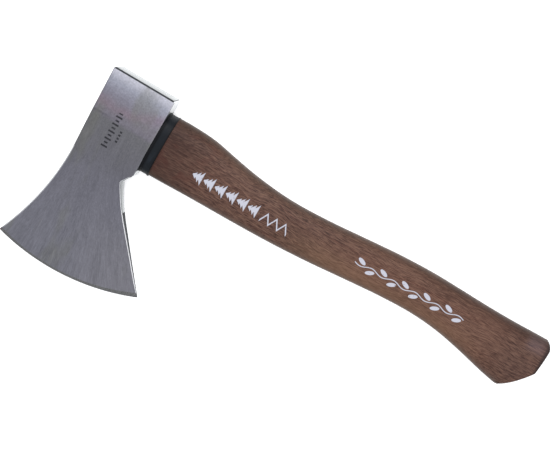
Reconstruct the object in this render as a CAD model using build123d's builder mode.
from build123d import *
from math import radians, tan
import os

# A hatchet that lies on its side. +X runs along the handle from the head to the butt, +Y points to the poll,
# so the cutting edge faces -Y, and +Z is the thickness of the head. The side views are drawn from the corner
# where the head's top side meets the poll: x is along the handle, and y falls from the poll to the edge.
# That drawing is then centred on its own outer size, and the lower cheek of the head lies on z = 0.

# ---- head, forged steel ----
head_length = 158.4
head_thickness = 28.0
poll_width = 51.1
edge_radius = 178.0
edge_centre_x = 27.2
toe_x = -18.5
heel_x = 97.7
waist = (1.3, -58.0)
lug_corner = (51.1, -63.3)
lug_corner_radius = 1.5
notch = (44.9, -72.6)
notch_radius = 1.5
beard_bend = (62.5, -100.2)
poll_chamfer = 1.2

# Half thickness of the head below the flat part of its cheeks, as distance from the poll and half thickness.
cheek_flat = 33.0
cheek_taper = [(57.0, 12.2), (78.0, 7.8), (102.0, 4.3), (128.0, 2.2), (158.4, 0.7)]
bevel_run = 12.0
bevel_angle = 20.0
edge_flat = 0.15

# ---- eye of the head and tenon of the handle ----
eye_centre_y = -35.0
eye_mouth_width = 43.0
eye_mouth_thickness = 18.0
eye_flare = 0.04
tenon_end = 0.8

# ---- handle, hickory ----
overall_length = 379.7
collar_start = 51.1
collar_end = 59.3
neck_width = 44.4
neck_thickness = 23.4
butt_corner = (372.7, -12.2)
butt_face_top = (379.7, -18.5)
butt_face_bottom = (378.5, -37.5)
butt_tip = (354.6, -64.5)
butt_bow = 1.3
butt_edge_round = 1.6

# Distance from the head, upper outline, lower outline and thickness of the handle.
handle_stations = [
    (collar_end, -10.4, -58.6, 25.4),
    (72.0, -10.2, -58.3, 25.4),
    (90.0, -11.2, -57.7, 25.2),
    (110.0, -14.9, -57.3, 24.6),
    (132.0, -18.5, -56.9, 24.0),
    (160.0, -20.7, -56.0, 23.6),
    (190.0, -19.7, -54.1, 23.4),
    (220.0, -17.0, -51.2, 23.4),
    (250.0, -14.3, -48.4, 23.6),
    (277.0, -13.1, -47.2, 24.0),
    (300.0, -13.3, -48.7, 24.6),
    (322.0, -13.8, -52.6, 25.2),
    (345.0, -13.8, -57.9, 25.8),
    (365.0, -13.1, -61.5, 26.0),
    (385.0, -12.4, -64.0, 26.0),
]

# ---- collar, rubber ----
collar_width = 48.6
collar_thickness = 26.8
collar_rim = 1.3
collar_rim_height = 0.4
collar_rim_round = 0.3

# ---- wedges in the top of the eye ----
wood_wedge_width = 41.0
wood_wedge_depth = 34.0
wood_wedge_top = 4.4
wood_wedge_tip = 1.2
kerf_depth = 42.0
steel_wedge_width = 13.0
steel_wedge_depth = 21.0
steel_wedge_top = 2.8
steel_wedge_tip = 0.6
steel_wedge_spread = 20.0

# ---- places ----
edge_centre_y = edge_radius - head_length
toe_y = edge_centre_y - (edge_radius**2 - (toe_x - edge_centre_x) ** 2) ** 0.5
heel_y = edge_centre_y - (edge_radius**2 - (heel_x - edge_centre_x) ** 2) ** 0.5
shift_x = -(toe_x + overall_length) / 2
shift_y = head_length / 2
half = head_thickness / 2
side = Plane((shift_x, shift_y, 0))
eye_line = Plane((shift_x, shift_y + eye_centre_y, half))


def across(x):
    """The plane across the handle at x, seen from the butt: its first axis is +Y and its second is +Z."""
    return Plane((shift_x + x, shift_y, half), x_dir=(0, 1, 0), z_dir=(1, 0, 0))


def oval(y_high, y_low, thickness):
    """Eight points of a flattened oval, which is fuller at its corners than an ellipse."""
    centre = (y_high + y_low) / 2
    a = (y_high - y_low) / 2
    b = thickness / 2
    full = 0.765
    ring = [(1, 0), (full, full), (0, 1), (-full, full), (-1, 0), (-full, -full), (0, -1), (full, -full)]
    return [(centre + a * u, b * v) for u, v in ring]


def oval_at_eye(width, thickness):
    """The same oval about the middle of the eye."""
    return oval(eye_centre_y + width / 2, eye_centre_y - width / 2, thickness)


# The eye goes right through the head. It widens to the top side, so that the wedged tenon can't pull out.
with BuildPart() as eye:
    for x in (-25.0, collar_start + 2):
        flare = 1 + eye_flare * (collar_start - x) / collar_start
        with BuildSketch(across(x)):
            with Locations((eye_centre_y, 0)):
                Ellipse(eye_mouth_width / 2 * flare, eye_mouth_thickness / 2 * flare)
    loft()

# The head is its side view, cut by the shape that it has when it is seen along the handle, then ground to a
# bevel that follows the round edge, and pierced by the eye.
with BuildPart() as head:
    with BuildSketch(side) as head_side:
        with BuildLine():
            Line((0, 0), (poll_width, 0))
            Line((poll_width, 0), lug_corner)
            Line(lug_corner, notch)
            beard_run = (heel_x - beard_bend[0], heel_y - beard_bend[1])
            TangentArc(beard_bend, notch, tangent=(-beard_run[0], -beard_run[1]))
            Line(beard_bend, (heel_x, heel_y))
            ThreePointArc((heel_x, heel_y), (edge_centre_x, -head_length), (toe_x, toe_y))
            TangentArc(waist, (toe_x, toe_y), tangent=waist)
            Line(waist, (0, 0))
        make_face()
        fillet(head_side.vertices().sort_by_distance(lug_corner)[0], lug_corner_radius)
        fillet(head_side.vertices().sort_by_distance(notch)[0], notch_radius)
    extrude(amount=head_thickness)

    with BuildSketch(across(toe_x)):
        with BuildLine():
            cheek = [(-cheek_flat, half)] + [(-y, h) for y, h in cheek_taper]
            Line((0, -half), (0, half))
            Line((0, half), cheek[0])
            upper_cheek = Spline(cheek)
            Line(cheek[-1], (cheek[-1][0], -cheek[-1][1]))
            mirror(upper_cheek, about=Plane.XZ)
            Line((-cheek_flat, -half), (0, -half))
        make_face()
    extrude(amount=heel_x - toe_x, mode=Mode.INTERSECT)

    # The poll is chamfered all round.
    poll_face = head.faces().sort_by(Axis.Y)[-1]
    chamfer(poll_face.edges(), poll_chamfer)

    # The bevel is turned about the centre of the round edge.
    edge_axis = Axis((shift_x + edge_centre_x, shift_y + edge_centre_y, 0), (0, 0, 1))
    turning = Plane(edge_axis.position + Vector(0, 0, half), x_dir=(0, -1, 0), z_dir=(1, 0, 0))
    bevel_rise = bevel_run * tan(radians(bevel_angle))
    with BuildSketch(turning):
        with BuildLine():
            Polyline(
                (0, -head_thickness),
                (edge_radius - bevel_run, -head_thickness),
                (edge_radius - bevel_run, -bevel_rise - edge_flat),
                (edge_radius, -edge_flat),
                (edge_radius, edge_flat),
                (edge_radius - bevel_run, bevel_rise + edge_flat),
                (edge_radius - bevel_run, head_thickness),
                (0, head_thickness),
                close=True,
            )
        make_face()
    revolve(axis=edge_axis, mode=Mode.INTERSECT)

    add(eye.part, mode=Mode.SUBTRACT)

# The wooden wedge lies along the eye. It has spread the sawn kerf, which goes on a little below its tip.
wedge_plane = Plane(eye_line.origin, x_dir=(1, 0, 0), z_dir=(0, -1, 0))
with BuildPart() as whole_wedge:
    with BuildSketch(wedge_plane):
        with BuildLine():
            Polyline(
                (tenon_end, -wood_wedge_top / 2),
                (wood_wedge_depth, -wood_wedge_tip / 2),
                (wood_wedge_depth, wood_wedge_tip / 2),
                (tenon_end, wood_wedge_top / 2),
                close=True,
            )
        make_face()
    extrude(amount=wood_wedge_width / 2, both=True)

with BuildPart() as kerf:
    with BuildSketch(wedge_plane):
        with Locations((wood_wedge_depth, 0)):
            Rectangle(kerf_depth - wood_wedge_depth, wood_wedge_tip, align=(Align.MIN, Align.CENTER))
    extrude(amount=eye_mouth_width, both=True)

# Two flat steel wedges are driven in across the wooden one, which they split at its top.
with BuildPart() as steel_wedges:
    for y in (-steel_wedge_spread / 2, steel_wedge_spread / 2):
        with BuildSketch(eye_line):
            with BuildLine():
                Polyline(
                    (tenon_end, y - steel_wedge_top / 2),
                    (steel_wedge_depth, y - steel_wedge_tip / 2),
                    (steel_wedge_depth, y + steel_wedge_tip / 2),
                    (tenon_end, y + steel_wedge_top / 2),
                    close=True,
                )
            make_face()
        extrude(amount=steel_wedge_width / 2, both=True)

with BuildPart() as wooden_wedge:
    add(whole_wedge.part)
    add(steel_wedges.part, mode=Mode.SUBTRACT)

# The handle is one piece of hickory: a body that narrows to the grip and widens to the slanted butt, a neck
# under the collar, and a tenon that fills the eye.
with BuildPart() as tenon:
    add(eye.part)
    split(bisect_by=across(tenon_end), keep=Keep.TOP)
    split(bisect_by=across(collar_start), keep=Keep.BOTTOM)

with BuildPart() as handle:
    for x, y_high, y_low, thickness in handle_stations:
        with BuildSketch(across(x)):
            with BuildLine():
                Spline(oval(y_high, y_low, thickness), periodic=True)
            make_face()
    loft()

    # Behind this outline the butt is sawn off: a rounded upper corner, an upright end face, and a bowed slant
    # down to the tip.
    with BuildSketch(side):
        with BuildLine():
            Line((collar_end, 0), (butt_corner[0], 0))
            Line((butt_corner[0], 0), butt_corner)
            TangentArc(butt_corner, butt_face_top, tangent=(1, 0))
            Line(butt_face_top, butt_face_bottom)
            SagittaArc(butt_face_bottom, butt_tip, butt_bow)
            Line(butt_tip, (butt_tip[0], -head_length))
            Line((butt_tip[0], -head_length), (collar_end, -head_length))
            Line((collar_end, -head_length), (collar_end, 0))
        make_face()
    extrude(amount=head_thickness, mode=Mode.INTERSECT)
    body = handle.faces().sort_by(SortBy.AREA)[-1]
    sawn = body.edges().filter_by(lambda e: e.center().X > shift_x + butt_tip[0])
    fillet(sawn, butt_edge_round)

    with BuildSketch(across(collar_start)):
        with BuildLine():
            Spline(oval_at_eye(neck_width, neck_thickness), periodic=True)
        make_face()
    extrude(amount=collar_end - collar_start)
    add(tenon.part)
    add([whole_wedge.part, kerf.part, steel_wedges.part], mode=Mode.SUBTRACT)

# The collar is pushed over the neck before the head goes on. It has a raised rim at each end.
with BuildPart() as collar:
    rim_grow = 2 * collar_rim_height
    for x, length, grow in (
        (collar_start, collar_end - collar_start, 0),
        (collar_start, collar_rim, rim_grow),
        (collar_end - collar_rim, collar_rim, rim_grow),
    ):
        with BuildSketch(across(x)):
            with BuildLine():
                Spline(oval_at_eye(collar_width + grow, collar_thickness + grow), periodic=True)
            make_face()
        extrude(amount=length)
    rim_edges = collar.faces().sort_by(Axis.X)[0].edges() + collar.faces().sort_by(Axis.X)[-1].edges()
    fillet(rim_edges, collar_rim_round)
    with BuildSketch(across(collar_start)):
        with BuildLine():
            Spline(oval_at_eye(neck_width, neck_thickness), periodic=True)
        make_face()
    extrude(amount=collar_end - collar_start, mode=Mode.SUBTRACT)

os.makedirs("parts", exist_ok=True)

head.part.label = "head"
handle.part.label = "handle"
collar.part.label = "collar"
wooden_wedge.part.label = "wooden_wedge"
steel_wedges.part.label = "steel_wedges"

export_step(head.part, "parts/head.step")
export_step(handle.part, "parts/handle.step")
export_step(collar.part, "parts/collar.step")
export_step(wooden_wedge.part, "parts/wooden_wedge.step")
export_step(steel_wedges.part, "parts/steel_wedges.step")
